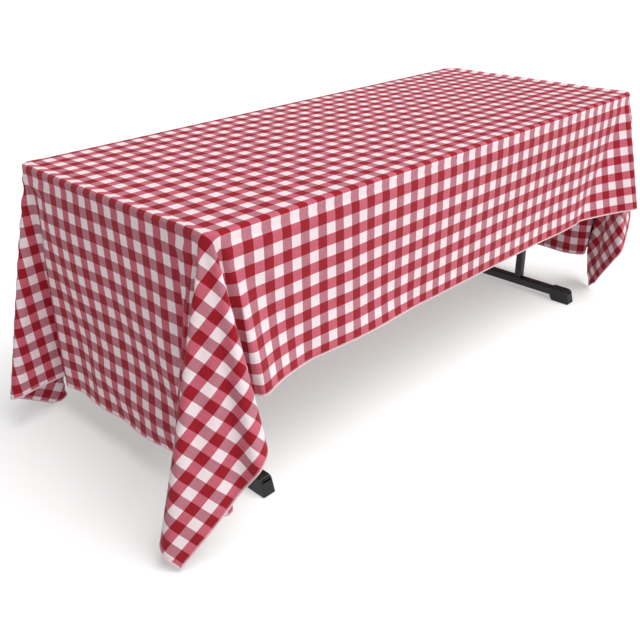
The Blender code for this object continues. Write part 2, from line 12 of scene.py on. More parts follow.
import bmesh
import bpy
import numpy as np
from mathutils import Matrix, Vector


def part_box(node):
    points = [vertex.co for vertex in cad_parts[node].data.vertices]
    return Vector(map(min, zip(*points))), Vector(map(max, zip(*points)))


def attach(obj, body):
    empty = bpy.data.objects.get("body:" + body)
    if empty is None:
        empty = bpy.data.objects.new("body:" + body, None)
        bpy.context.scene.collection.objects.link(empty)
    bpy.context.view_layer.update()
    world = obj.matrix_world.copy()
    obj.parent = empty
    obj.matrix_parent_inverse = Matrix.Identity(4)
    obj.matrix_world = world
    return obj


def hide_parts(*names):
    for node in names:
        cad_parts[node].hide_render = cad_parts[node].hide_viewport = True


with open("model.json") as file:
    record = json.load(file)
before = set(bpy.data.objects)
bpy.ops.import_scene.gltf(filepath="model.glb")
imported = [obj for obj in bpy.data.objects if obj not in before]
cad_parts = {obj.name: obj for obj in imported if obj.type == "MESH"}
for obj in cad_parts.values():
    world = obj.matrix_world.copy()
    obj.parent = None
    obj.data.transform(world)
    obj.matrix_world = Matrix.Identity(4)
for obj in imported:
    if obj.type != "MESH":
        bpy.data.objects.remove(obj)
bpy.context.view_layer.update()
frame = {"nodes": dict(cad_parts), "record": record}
nodes = frame["nodes"]

# %% [markdown]
# The camera comes first. It stands off the table's front left corner, a little above the height of a
# person who sits down, and looks along the table. The lens is a normal one, near 45 mm. A wide lens would
# splay the table's long sides, and a long one would flatten them.

# %% Camera
CAMERA_PLACE = (-1.7555, -1.536, 1.2839)
CAMERA_TURN = (62.98, 0.878, -45.499)
CAMERA_LENS = 44.68


def link(thing):
    """Puts an object into the scene, and gives it back."""
    bpy.context.scene.collection.objects.link(thing)
    return thing


lens = bpy.data.cameras.new("camera")
lens.lens = CAMERA_LENS
camera = link(bpy.data.objects.new("camera", lens))
camera.location = CAMERA_PLACE
camera.rotation_euler = [math.radians(turn) for turn in CAMERA_TURN]
bpy.context.scene.camera = camera
print("camera:", CAMERA_PLACE, "lens", CAMERA_LENS, "mm")

# %% [markdown]
# The studio's floor is very wide and pale, and it glows a little, so shadows under the table stay soft. A
# photographer's light table does the same with a lamp below a white sheet. A plain white floor that only
# reflects would be simpler, but the shadow on it would be much darker.

# %% Floor
FLOOR_HALF = 40.0
FLOOR_COLOR = 0.6
FLOOR_GLOW = 0.4
PLAIN_WHITE = (1, 1, 1, 1)


def mesh_object(name, points, faces):
    """An object in the scene, from a list of points and a list of faces that number them."""
    mesh = bpy.data.meshes.new(name)
    mesh.from_pydata([tuple(point) for point in points], [], [tuple(face) for face in faces])
    mesh.update()
    return link(bpy.data.objects.new(name, mesh))


def square_object(name, half, z):
    """A level square, half as wide as it says, with its middle over the origin."""
    corners = [(-half, -half, z), (half, -half, z), (half, half, z), (-half, half, z)]
    return mesh_object(name, corners, [(0, 1, 2, 3)])


def new_material(name, **uniform):
    """A material with values that are the same all over, and its shader."""
    material = bpy.data.materials.new(name)
    material.use_nodes = True
    shader = material.node_tree.nodes["Principled BSDF"]
    for words, value in uniform.items():
        shader.inputs[words.replace("_", " ")].default_value = value
    return material, shader


floor = square_object("floor", FLOOR_HALF, 0)
floor_paint, _ = new_material("floor_paint", Base_Color=(FLOOR_COLOR, FLOOR_COLOR, FLOOR_COLOR, 1),
                              Roughness=0.9, Specular_IOR_Level=0.1,
                              Emission_Color=PLAIN_WHITE, Emission_Strength=FLOOR_GLOW)
floor.data.materials.append(floor_paint)
print("floor:", 2 * FLOOR_HALF, "m wide")

# %% [markdown]
# The sky is a faint even white. One broad lamp stands high in front of the table's long side, and slightly
# towards its right end. The left end faces away from that lamp, so it falls into half shade, and the two
# sides read as two planes. A sun lamp is used, because its light is equally strong along the whole table,
# and its wide angle keeps the shadows' edges soft.

# %% Sky and lamp
SKY_STRENGTH = 0.14
KEY_STRENGTH = 3.7
KEY_SPREAD = 50
KEY_FROM = (0.14, -0.46, 0.88)

world = bpy.data.worlds.new("studio")
world.use_nodes = True
world_nodes = world.node_tree.nodes
join = world.node_tree.links.new
sky = world_nodes["Background"]
sky.inputs["Color"].default_value = PLAIN_WHITE
sky.inputs["Strength"].default_value = SKY_STRENGTH
# The sky is faint as a light, but a viewer who sees past the floor's edge sees plain white.
backdrop = world_nodes.new("ShaderNodeBackground")
backdrop.inputs["Color"].default_value = PLAIN_WHITE
seen = world_nodes.new("ShaderNodeLightPath")
either = world_nodes.new("ShaderNodeMixShader")
join(seen.outputs["Is Camera Ray"], either.inputs[0])
join(sky.outputs[0], either.inputs[1])
join(backdrop.outputs[0], either.inputs[2])
join(either.outputs[0], world_nodes["World Output"].inputs["Surface"])
bpy.context.scene.world = world

sun = bpy.data.lights.new("key", "SUN")
sun.energy = KEY_STRENGTH
sun.angle = math.radians(KEY_SPREAD)
key = link(bpy.data.objects.new("key", sun))
key.rotation_euler = Vector(KEY_FROM).to_track_quat("Z", "Y").to_euler()
bpy.context.scene.view_settings.view_transform = "Standard"
print("key lamp comes from", KEY_FROM)

# %% [markdown]
# The cloth is a stock size, 1.525 m by 3.05 m, and is laid square on the table with its middle on the
# table's middle. It is made as a grid of small squares, and each point of the grid remembers where it is
# in the flat cloth. Those flat places give the cloth its rest shape in the simulation and, later on,
# give the checks their places, so the pattern stretches nowhere.

# %% Flat cloth
CLOTH_LENGTH = 3.05
CLOTH_WIDTH = 1.525
CLOTH_PITCH = 0.018
CLOTH_LIFT = 0.0012

HALF_LENGTH, HALF_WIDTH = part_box("edge_band")[1][:2]
CLOTH_TOP_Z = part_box("table_top")[1][2] + CLOTH_LIFT

columns = round(CLOTH_LENGTH / CLOTH_PITCH) + 1
rows = round(CLOTH_WIDTH / CLOTH_PITCH) + 1


def flat_grid(columns, rows):
    """The flat places of a grid of points over the whole cloth, column by column."""
    along = np.linspace(-CLOTH_LENGTH / 2, CLOTH_LENGTH / 2, columns)
    across = np.linspace(-CLOTH_WIDTH / 2, CLOTH_WIDTH / 2, rows)
    return np.repeat(along, rows), np.tile(across, columns)


def grid_faces(columns, rows):
    """The four points of each square in a grid that is numbered column by column."""
    index = np.arange(columns * rows).reshape(columns, rows)
    corners = [index[:-1, :-1], index[1:, :-1], index[1:, 1:], index[:-1, 1:]]
    return np.stack(corners, axis=-1).reshape(-1, 4)


flat_x, flat_y = flat_grid(columns, rows)
print("table top", 2 * HALF_LENGTH, "by", 2 * HALF_WIDTH, "m, cloth grid", columns, "by", rows)

# %% [markdown]
# At a corner of the table the cloth has no panel to lie on, and its spare fabric hangs in an ear. Every
# straight line from the table's corner to the cloth's edge stays straight, so an ear is a cone. Its
# cross-section is a path of hanging directions: it starts in the long side's panel, wanders out and back
# once for each fold, and ends in the short side's panel. A path is given here as degrees away from
# straight down, outward from the short end and outward from the long side. The ear at the front left has
# one broad outer fold with a second layer behind it, and so has the one diagonally across from it. The ear
# at the back left hangs in narrower layers, and the one at the front right flares out.

# %% Fold paths
BROAD_EAR = [(-31, 0), (-19, 3), (-8, 6.7), (-5, 2), (4, 0.3), (9, 0.5), (8, 4), (0, 4.5), (-3.5, 8),
             (-3, 12.6), (1.2, 13.2), (3, 8.8), (7.5, 6.3), (12, 2.8), (14.6, 0.3), (13, -2.2), (8, 1.5),
             (2.5, 6.2), (3.5, 0), (7, -6), (4, -10.5), (0, -12)]
SIDE_EAR = [(-12, 0), (-7, 3), (-7, 14), (-4, 15), (-3.5, 7), (-1, 15.5), (2.5, 15.5), (1, 8), (5, 14.5),
            (9, 12), (-2.5, 5.5), (12.5, 6.5), (13.2, 3), (-1.5, 2.6), (1, -4), (0, -12)]
FLARED_EAR = [(-32, 0), (-19, 8), (-6, 17), (0, 11), (6, 7), (13, 8), (15, 4), (8, 6.5), (-3, 8), (-1, 2),
              (4, -5), (7, -8), (14, -3), (16, 0), (10, -4), (7, -9), (3, -6), (0, -12)]
# A corner is named by its signs: -1 and -1 are the left end and the front.
EARS = {(-1, -1): BROAD_EAR, (-1, 1): SIDE_EAR, (1, 1): BROAD_EAR, (1, -1): FLARED_EAR}
for corner, bends in EARS.items():
    print("ear at corner", corner, "has", len(bends), "bends")

# %% [markdown]
# A path needs two things before cloth can follow it. It is drawn as a smooth curve through its bends, and
# it is scaled until its length is the angle that the flat cloth has between the two panels. The right
# scale could be solved for, but halving a range is simpler and always ends. This is what keeps the ear
# honest: no fabric is gained or lost in its folds.

# %% Ear directions
PATH_STEPS = 40
PATH_SCALES = (0.5, 2.0)
PATH_HALVINGS = 40


def smooth_path(points, steps):
    """A Catmull-Rom curve through the points, with so many steps from each to the next."""
    points = np.array(points, float)
    padded = np.vstack([2 * points[:1] - points[1:2], points, 2 * points[-1:] - points[-2:-1]])
    a, b, c, d = padded[:-3], padded[1:-2], padded[2:-1], padded[3:]
    out = []
    for t in np.arange(steps) / steps:
        bend = (2 * a - 5 * b + 4 * c - d) * t**2 + (3 * b - a - 3 * c + d) * t**3
        out.append(0.5 * (2 * b + (c - a) * t + bend))
    out = np.stack(out, axis=1).reshape(-1, points.shape[1])
    return np.vstack([out, points[-1:]])


def directions(path):
    """Unit vectors, out from the end, out from the side and up, for a path in degrees."""
    tilt = np.radians(np.hypot(path[:, 0], path[:, 1]))
    turn = np.arctan2(path[:, 1], path[:, 0])
    return np.stack([np.sin(tilt) * np.cos(turn), np.sin(tilt) * np.sin(turn), -np.cos(tilt)], axis=1)


def ear_directions(points):
    """The angles in the flat cloth along an ear's path, from side to end, and its directions there."""
    path = smooth_path(points, PATH_STEPS)
    low, high = PATH_SCALES
    for _ in range(PATH_HALVINGS):
        scale = (low + high) / 2
        ways = directions(path * scale)
        steps = np.linalg.norm(np.diff(ways, axis=0), axis=1)
        first = math.radians(path[0, 0] * scale)
        last = math.pi / 2 - math.radians(path[-1, 1] * scale)
        if steps.sum() < last - first:
            low = scale
        else:
            high = scale
    return first + np.concatenate([[0], np.cumsum(steps)]), ways


for corner, bends in EARS.items():
    turns = ear_directions(bends)[0]
    print("ear at corner", corner, "takes up", round(math.degrees(turns[-1] - turns[0]), 1), "degrees")

# %% [markdown]
# Each flat point now gets its starting place. Over the table it lies on the top. Beside the table it hangs
# straight down. In an ear it lies on the cone: its angle about the table's rounded corner picks the
# direction, and its distance past the corner says how far down that line it is.

# %% Starting shape
CORNER_ROUND = 0.036


def ear_places(x, y, corner):
    """The points of the cloth in one ear: which they are, where they start and how far they hang."""
    turns, ways = ear_directions(EARS[corner])
    along = x * corner[0] - (HALF_LENGTH - CORNER_ROUND)
    beside = y * corner[1] - (HALF_WIDTH - CORNER_ROUND)
    # Past the rounded corner a line starts from the end of the straight edge instead.
    turn = np.arctan2(along, beside)
    turn_side = np.arctan2(along, beside - CORNER_ROUND)
    turn_end = np.arctan2(along - CORNER_ROUND, beside)
    zones = [(turn < 0) & (beside > CORNER_ROUND), (turn > math.pi / 2) & (along > CORNER_ROUND)]
    angle = np.select(zones, [turn_side, turn_end], turn)
    zone_reach = [np.hypot(along, beside - CORNER_ROUND), np.hypot(along - CORNER_ROUND, beside)]
    reach = np.select(zones, zone_reach, np.hypot(along, beside) - CORNER_ROUND)
    within = (turn >= 0) & (turn <= math.pi / 2) & (reach > 0)
    mine = (zones[0] | zones[1] | within) & (angle > turns[0]) & (angle < turns[-1])
    angle, reach = angle[mine], reach[mine]
    way = np.stack([np.interp(angle, turns, ways[:, axis]) for axis in range(3)], axis=1)
    way /= np.linalg.norm(way, axis=1)[:, None]
    around = np.clip(angle, 0, math.pi / 2)
    edge = np.stack([HALF_LENGTH - CORNER_ROUND * (1 - np.sin(around)),
                     HALF_WIDTH - CORNER_ROUND * (1 - np.cos(around)),
                     np.full(len(angle), CLOTH_TOP_Z)], axis=1)
    return mine, (edge + reach[:, None] * way) * np.array([*corner, 1]), reach


def hang(x, y):
    """Where each flat point starts, and how far down an ear it hangs."""
    over_x = np.maximum(np.abs(x) - HALF_LENGTH, 0)
    over_y = np.maximum(np.abs(y) - HALF_WIDTH, 0)
    places = np.stack([np.clip(x, -HALF_LENGTH, HALF_LENGTH), np.clip(y, -HALF_WIDTH, HALF_WIDTH),
                       CLOTH_TOP_Z - over_x - over_y], axis=1)
    eared = np.zeros(len(x))
    for corner in EARS:
        mine, ear, reach = ear_places(x, y, corner)
        places[mine] = ear
        eared[mine] = reach
    return places, eared


start, eared = hang(flat_x, flat_y)
print("start: lowest point", start[:, 2].min().round(4), "m,", int((eared > 0).sum()), "points in ears")

# %% [markdown]
# Two plain forms take the place of the table and the ground while the cloth settles, because the packed
# table has too many small parts to collide with. The table's form is a block with rounded corners and a
# rounded rim, a hair smaller than the real top, that narrows a little at its foot. Both forms are thrown
# away afterwards.

# %% Collision forms
FORM_SHY = 0.0015
FORM_BAND = 0.025
FORM_DEPTH = 0.06
FORM_TAPER = 0.01
RIM_ROUND = 0.0035
RIM_STEPS = 4
RING_STEPS = 8
GROUND_HALF = 2.0
GROUND_Z = 0.001


def rounded_ring(inset, z):
    """Points round the table's outline, pulled in by inset."""
    points = []
    for quarter, (sx, sy) in enumerate([(1, -1), (1, 1), (-1, 1), (-1, -1)]):
        for step in range(RING_STEPS + 1):
            turn = math.pi / 2 * (quarter - 1 + step / RING_STEPS)
            points.append((sx * (HALF_LENGTH - inset - CORNER_ROUND) + CORNER_ROUND * math.cos(turn),
                           sy * (HALF_WIDTH - inset - CORNER_ROUND) + CORNER_ROUND * math.sin(turn), z))
    return points


def table_form():
    """The block: rings of points from the rounded rim down, with faces between and at both ends."""
    top = CLOTH_TOP_Z - CLOTH_LIFT - FORM_SHY
    rings = []
    for step in range(RIM_STEPS + 1):
        turn = math.pi / 2 * step / RIM_STEPS
        rings.append(rounded_ring(FORM_SHY + RIM_ROUND * (1 - math.sin(turn)),
                                  top - RIM_ROUND * (1 - math.cos(turn))))
    rings.append(rounded_ring(FORM_SHY, top - FORM_BAND))
    rings.append(rounded_ring(FORM_SHY + FORM_TAPER, top - FORM_DEPTH))
    count = len(rings[0])
    last = count * len(rings) - 1
    faces = [list(range(count)), [last - i for i in range(count)]]
    for ring in range(len(rings) - 1):
        for i in range(count):
            a, b = ring * count + i, ring * count + (i + 1) % count
            faces.append((a, a + count, b + count, b))
    return mesh_object("table_form", [point for ring in rings for point in ring], faces)


print("table form:", 4 * (RING_STEPS + 1), "points round,", RIM_STEPS + 3, "rings deep")

# %% [markdown]
# Some of the cloth must be told to stay put. The part that lies on the table is held still, as friction
# would hold it. The ears are held very lightly near the shape that they start from: real cloth keeps a
# fold because its threads rub on each other, and a simulated sheet that is left alone slides in under the
# table. Some points also skip the test for cloth that touches itself: those on the top lie flat and don't
# need it, and those round a corner are so crowded that they would push each other apart.

# %% Held points
EAR_HOLD = 0.2
EAR_HELD_FROM = 0.1
TOP_HELD_INSET = 0.010
CORNER_HELD_INSET = 0.008
CORNER_CROWD = 0.05


def held_points(eared):
    """How firmly each point is held, from 0 to 1, and which points skip the self test."""
    depth_x = HALF_LENGTH - np.abs(flat_x)
    depth_y = HALF_WIDTH - np.abs(flat_y)
    past = np.hypot(np.maximum(CORNER_ROUND - depth_x, 0), np.maximum(CORNER_ROUND - depth_y, 0))
    inside = (depth_x > TOP_HELD_INSET) & (depth_y > TOP_HELD_INSET)
    on_top = inside & (past < CORNER_ROUND - CORNER_HELD_INSET)
    beyond = (depth_x < CORNER_ROUND) & (depth_y < CORNER_ROUND)
    at_corner = beyond & (past < CORNER_ROUND + CORNER_CROWD)
    held = np.where(on_top, 1.0, np.where(eared > EAR_HELD_FROM, EAR_HOLD, 0.0))
    return held, (on_top | at_corner) * 1.0


def vertex_group(thing, name, weights):
    """Names a group of an object's points, with a weight for each, and gives back the name."""
    group = thing.vertex_groups.new(name=name)
    for vertex, weight in enumerate(weights):
        if weight > 0:
            group.add([vertex], float(weight), "REPLACE")
    return name


held, no_self = held_points(eared)
print("held on the top:", int((held == 1).sum()), "points")

# %% [markdown]
# The cloth then settles under its own weight for a little over a second. The flat grid is the rest shape,
# so the panels keep their real size, and the bulges and the waves along the hem come from the fabric
# itself. The result is read back as plain points, and the sheet that was simulated is thrown away.

# %% Settling
SETTLE_FRAMES = 30
FORM_SKIN = 0.001
FORM_FRICTION = 20
FABRIC = {"quality": 6, "mass": 0.12, "air_damping": 2.0, "tension_stiffness": 40,
          "compression_stiffness": 40, "shear_stiffness": 12, "bending_stiffness": 0.6,
          "tension_damping": 8, "compression_damping": 8, "shear_damping": 8, "bending_damping": 0.5}
CONTACT = {"distance_min": 0.0015, "collision_quality": 3, "use_self_collision": True,
           "self_distance_min": 0.003, "self_friction": 8}


def make_fabric(sheet):
    """Turns a sheet into cloth that pulls towards its flat shape and is held where it should be."""
    sheet.shape_key_add(name="Basis")
    flat_key = sheet.shape_key_add(name="flat")
    flat_places = np.stack([flat_x, flat_y, np.full(len(flat_x), CLOTH_TOP_Z)], axis=1)
    flat_key.data.foreach_set("co", flat_places.ravel())
    fabric = sheet.modifiers.new("fabric", "CLOTH")
    for name, value in FABRIC.items():
        setattr(fabric.settings, name, value)
    for name, value in CONTACT.items():
        setattr(fabric.collision_settings, name, value)
    fabric.settings.vertex_group_mass = vertex_group(sheet, "held", held)
    fabric.settings.rest_shape_key = flat_key
    fabric.collision_settings.vertex_group_self_collisions = vertex_group(sheet, "no_self", no_self)
    fabric.point_cache.frame_start = 1
    fabric.point_cache.frame_end = SETTLE_FRAMES


def settle(start):
    """Drapes the sheet from its starting shape, and gives back where its points come to rest."""
    forms = [table_form(), square_object("ground_form", GROUND_HALF, GROUND_Z)]
    for form in forms:
        form.modifiers.new("collision", "COLLISION")
        form.collision.thickness_outer = FORM_SKIN
        form.collision.cloth_friction = FORM_FRICTION
    sheet = mesh_object("settling_sheet", start, grid_faces(columns, rows))
    make_fabric(sheet)
    for step in range(1, SETTLE_FRAMES + 1):
        bpy.context.scene.frame_set(step)
    draped = sheet.evaluated_get(bpy.context.evaluated_depsgraph_get())
    places = np.empty(len(flat_x) * 3, np.float32)
    draped.data.vertices.foreach_get("co", places)
    bpy.context.scene.frame_set(1)
    for thing in [sheet, *forms]:
        mesh = thing.data
        bpy.data.objects.remove(thing)
        bpy.data.meshes.remove(mesh)
    return places.reshape(-1, 3).astype(float)


settled = settle(start)
print("settled: lowest point", settled[:, 2].min().round(4), "m, widest",
      np.abs(settled).max(axis=0).round(3))

# %% [markdown]
# The settled grid is coarse, so it is refined with smooth curves through its points, twice as many rows
# and columns. Curves cut across the table's rim a little, so each point that comes too near the table is
# pushed straight out to just clear of it. That leaves the crisp edge that a thin cloth has over a table.
# Shrinkwrap could do this too, but it would drag the hanging panels in as well.

# %% Clear of the table
REFINE = 2
CLEAR = 0.0009
CORNER_CLEAR = 0.0016
RIM_CLEAR = 0.0008
RIM_REACH = 0.009
RIM_DEPTH = 0.05
RIM_INNER = 0.02
NEARLY_NOTHING = 1e-9


def refined(grid, steps):
    """The same surface with so many times as many rows and columns."""
    for _ in range(2):
        count, other, parts = grid.shape
        grid = smooth_path(grid.reshape(count, -1), steps).reshape(-1, other, parts)
        grid = grid.transpose(1, 0, 2)
    return grid


def off_the_table(points):
    """Pushes points that are too near the table's rounded block straight out from it."""
    top = CLOTH_TOP_Z - CLOTH_LIFT
    side = np.sign(points[:, :2])
    inner = np.array([HALF_LENGTH - CORNER_ROUND, HALF_WIDTH - CORNER_ROUND])
    past = np.abs(points[:, :2]) - inner
    corner = np.maximum(past, 0)
    plan = np.hypot(corner[:, 0], corner[:, 1])
    outward = plan + np.minimum(past.max(axis=1), 0) - CORNER_ROUND
    over = points[:, 2] - top
    # Round the rim as well: the distance to a rounded edge is a distance to a smaller box less its radius.
    rim = np.stack([outward + RIM_ROUND, over + RIM_ROUND], axis=1)
    grown = np.maximum(rim, 0)
    reach = np.hypot(grown[:, 0], grown[:, 1])
    distance = reach + np.minimum(rim.max(axis=1), 0) - RIM_ROUND
    # Over the rim and round a corner the faces cut in between their points, so those stand off more.
    roundness = np.clip(1 + past.min(axis=1) / CORNER_ROUND, 0, 1)
    clear = CLEAR + CORNER_CLEAR * roundness + RIM_CLEAR * (rim.min(axis=1) > -RIM_REACH)
    near = (distance < clear) & (over > -RIM_DEPTH) & (outward > -RIM_INNER)
    share = grown / np.maximum(reach, NEARLY_NOTHING)[:, None]
    share[reach == 0] = (0, 1)
    push = np.where(near, clear - distance, 0)
    flat_way = corner / np.maximum(plan, NEARLY_NOTHING)[:, None] * side
    moved = points.copy()
    moved[:, :2] += flat_way * (push * share[:, 0])[:, None]
    moved[:, 2] += push * share[:, 1]
    print("pushed", int(near.sum()), "points off the table, at most", (push.max() * 1000).round(2), "mm")
    return moved


fine_columns = (columns - 1) * REFINE + 1
fine_rows = (rows - 1) * REFINE + 1
fine = refined(settled.reshape(columns, rows, 3), REFINE)
fine = off_the_table(fine.reshape(-1, 3)).reshape(fine_columns, fine_rows, 3)

# %% [markdown]
# The points become the sheet. Its map holds each point's place in the flat cloth, in metres, so a finish
# can be drawn at its real size. A Solidify modifier gives the sheet the thickness of the fabric, which is
# less work than a second layer of points and keeps the two faces the same distance apart.

# %% Finished sheet
FABRIC_THICKNESS = 0.0007


def set_map(thing, u, v):
    """A UV map, in metres, from one pair of numbers for each point of the mesh."""
    corners = np.empty(len(thing.data.loops), np.int32)
    thing.data.loops.foreach_get("vertex_index", corners)
    cut = thing.data.uv_layers.new(name="cut")
    cut.data.foreach_set("uv", np.stack([u[corners], v[corners]], axis=1).ravel())
    thing.data.shade_smooth()


cloth = mesh_object("tablecloth_sheet", fine.reshape(-1, 3), grid_faces(fine_columns, fine_rows))
set_map(cloth, *flat_grid(fine_columns, fine_rows))
thick = cloth.modifiers.new("thickness", "SOLIDIFY")
thick.thickness = FABRIC_THICKNESS
thick.offset = 0
print("cloth:", len(cloth.data.vertices), "points,", len(cloth.data.polygons), "faces")

# %% [markdown]
# The cloth's edge is bound with an overlock stitch, a narrow roll of thread that wraps the raw edge all
# round. It can be built as a tube along the edge, and for that each point of the edge needs a small frame:
# the way ahead along the edge, the way inward across the fabric, and the way that the fabric faces.

# %% Edge of the cloth
def border(grid):
    """The points round a grid's edge, in order, once each."""
    return np.vstack([grid[:-1, 0], grid[-1, :-1], grid[:0:-1, -1], grid[0, :0:-1]])


def unit(vectors):
    """The same directions, each one metre long."""
    return vectors / np.maximum(np.linalg.norm(vectors, axis=1), NEARLY_NOTHING)[:, None]


edge = border(fine)
inner_edge = border(fine[1:-1, 1:-1])
ahead = unit(np.roll(edge, -1, axis=0) - np.roll(edge, 1, axis=0))
flat_edge = np.stack(flat_grid(fine_columns, fine_rows), axis=1).reshape(fine_columns, fine_rows, 2)
flat_inner = border(flat_edge[1:-1, 1:-1])
nearest = [np.hypot(*(flat_inner - place).T).argmin() for place in border(flat_edge)]
inward = unit(inner_edge[nearest] - edge)
inward = unit(inward - ahead * (inward * ahead).sum(axis=1)[:, None])
facing = np.cross(ahead, inward)
print("edge:", len(edge), "points")

# %% [markdown]
# A curve with a bevel would twist at the cloth's corners, so the roll is built as a tube of flat ovals:
# each oval stands across the edge, its long axis in the plane of the fabric. Its map runs along the hem in
# metres and once round it, for the finish of the thread.

# %% Overlocked hem
HEM_HALF_WIDTH = 0.0019
HEM_HALF_THICKNESS = 0.0011
HEM_INSET = 0.0009
HEM_SIDES = 10
WELD_DISTANCE = 1e-6

core = edge + inward * HEM_INSET
ovals = []
for side in range(HEM_SIDES):
    turn = 2 * math.pi * side / HEM_SIDES
    wide = inward * (HEM_HALF_WIDTH * math.cos(turn))
    ovals.append(core + wide + facing * (HEM_HALF_THICKNESS * math.sin(turn)))
hem_points = np.stack(ovals, axis=1)
# The last ring is a copy of the first, so that the map runs on without a jump; they are joined below.
hem_points = np.vstack([hem_points, hem_points[:1]])
hem_points = np.concatenate([hem_points, hem_points[:, :1]], axis=1)
hem_steps = np.linalg.norm(np.diff(np.vstack([edge, edge[:1]]), axis=0), axis=1)
down_edge = np.concatenate([[0], np.cumsum(hem_steps)])
hem_faces = grid_faces(len(edge) + 1, HEM_SIDES + 1)
hem = mesh_object("tablecloth_hem", hem_points.reshape(-1, 3), hem_faces)
set_map(hem, np.repeat(down_edge, HEM_SIDES + 1),
        np.tile(np.arange(HEM_SIDES + 1) / HEM_SIDES, len(edge) + 1))
joined = bmesh.new()
joined.from_mesh(hem.data)
bmesh.ops.remove_doubles(joined, verts=joined.verts, dist=WELD_DISTANCE)
bmesh.ops.recalc_face_normals(joined, faces=joined.faces)
joined.to_mesh(hem.data)
joined.free()
print("hem:", round(float(down_edge[-1]), 3), "m long,", len(hem.data.polygons), "faces")

# %% [markdown]
# Materials are networks of nodes. Most of them here are sums, so a small class lets those be written as
# ordinary expressions: it wraps a socket, and each operator adds a Math node. Everything that isn't a sum
# goes through its one node method, which sets a node's options first and its sockets after.

# %% Shader sums
class Wire:
    """A shader socket. Its operators add Math nodes, and node() adds any other kind of node."""

    def __init__(self, socket):
        self.socket = socket

    def node(self, kind, settings=None, sockets=None, output=0):
        made = self.socket.id_data.nodes.new(kind)
        for name, value in (settings or {}).items():
            setattr(made, name, value)
        for name, value in (sockets or {}).items():
            if isinstance(value, Wire):
                self.socket.id_data.links.new(value.socket, made.inputs[name])
            else:
                made.inputs[name].default_value = value
        return Wire(made.outputs[output])

    def maths(self, operation, *values):
        return self.node("ShaderNodeMath", {"operation": operation}, dict(enumerate([self, *values])))

    def __add__(self, other):
        return self.maths("ADD", other)

    __radd__ = __add__

    def __sub__(self, other):
        return self.maths("SUBTRACT", other)

    def __rsub__(self, other):
        return self * -1 + other

    def __mul__(self, other):
        return self.maths("MULTIPLY", other)

    __rmul__ = __mul__

    def __gt__(self, other):
        return self.maths("GREATER_THAN", other)

    def __lt__(self, other):
        return self.maths("LESS_THAN", other)

    def __abs__(self):
        return self.maths("ABSOLUTE")

    def sin(self):
        return self.maths("SINE")

    def least(self, other):
        return self.maths("MINIMUM", other)

    def blend(self, low, high):
        """A colour that goes from low to high as this factor goes from 0 to 1."""
        return self.node("ShaderNodeMix", {"data_type": "RGBA"}, {0: self, 6: low, 7: high}, 2)

    def spread(self, low, high):
        """A number that goes from low to high as this one goes from 0 to 1."""
        return self * (high - low) + low


# %% [markdown]
# Every finish needs the same few steps. A colour is easiest to pick as it looks on a screen, but shaders
# work in linear light, so one helper converts it. The others plug a wire into a shader, make noise, and
# turn a height into a bump.

# %% Finish helpers
def color(red, green, blue):
    """A screen colour, 0 to 255 a channel, as the linear colour that shaders take."""
    linear = [(value / 255 / 12.92 if value <= 10 else ((value / 255 + 0.055) / 1.055) ** 2.4)
              for value in (red, green, blue)]
    return (*linear, 1)


def feed(shader, name, wire):
    """Plugs a wire into the shader's socket of that name."""
    shader.id_data.links.new(wire.socket, shader.inputs[name])


def noise(place, scale, detail):
    """Smooth noise over a place, from 0 to 1, with so many bumps to a unit."""
    return place.node("ShaderNodeTexNoise", None, {"Vector": place, "Scale": scale, "Detail": detail})


def bump(height, strength, distance):
    sockets = {"Height": height, "Strength": strength, "Distance": distance}
    return height.node("ShaderNodeBump", None, sockets)


print("a screen grey of 128 is", round(color(128, 128, 128)[0], 3), "in linear light")

# %% [markdown]
# Gingham is a plain weave of dyed and undyed yarns in equal stripes, the same both ways. The two pinks
# differ a little: where only the yarns that run the long way are dyed the check is pinker, and where only
# the yarns across are dyed it is more mauve. A texture of squares would do from far off. Here the stripes
# are worked out from the flat places of the cloth, and some yarns are more worn than others, so the red
# varies in fine lines.

# %% Gingham checks
CHECK_PERIOD = 0.0535
RED = color(139, 10, 26)
RED_WORN = color(164, 22, 40)
WHITE = color(240, 223, 226)
# The mixed checks: pinker where only the long yarns are dyed, more mauve where only the yarns across are.
PINK_LONG = color(207, 100, 118)
PINK_ACROSS = color(193, 122, 136)
STREAKS_BY_YARN = 420
STREAKS_ALONG_YARN = 14

gingham, fabric_shader = new_material("gingham_cloth", Roughness=0.86, Sheen_Weight=0.12,
                                      Sheen_Roughness=0.5, Specular_IOR_Level=0.16)
base = Wire(fabric_shader.outputs[0])
cut = base.node("ShaderNodeUVMap", {"uv_map": "cut"})
along = base.node("ShaderNodeSeparateXYZ", None, {0: cut}, 0)
across = base.node("ShaderNodeSeparateXYZ", None, {0: cut}, 1)


def stripe(place):
    """1 where the yarns at this place are dyed."""
    return (place * (2 * math.pi / CHECK_PERIOD) + math.pi / 2).sin() > 0


def streaks(fast, slow, seed):
    """Noise that changes from yarn to yarn and only slowly along one, from 0 to 1."""
    sockets = {0: fast * STREAKS_BY_YARN, 1: slow * STREAKS_ALONG_YARN, 2: seed}
    return noise(base.node("ShaderNodeCombineXYZ", None, sockets), 1.0, 1.0)


dyed_across = stripe(along)
dyed_long = stripe(across)
long_streaks = streaks(across, along, 0.0)
cross_streaks = streaks(along, across, 7.0)
red_check = (long_streaks * 0.5 + cross_streaks * 0.5).blend(RED, RED_WORN)
plain_rows = dyed_long.blend(WHITE, PINK_LONG)
dyed_rows = dyed_long.blend(PINK_ACROSS, red_check)
checks = dyed_across.blend(plain_rows, dyed_rows)
print("gingham checks are", CHECK_PERIOD * 500, "mm wide")
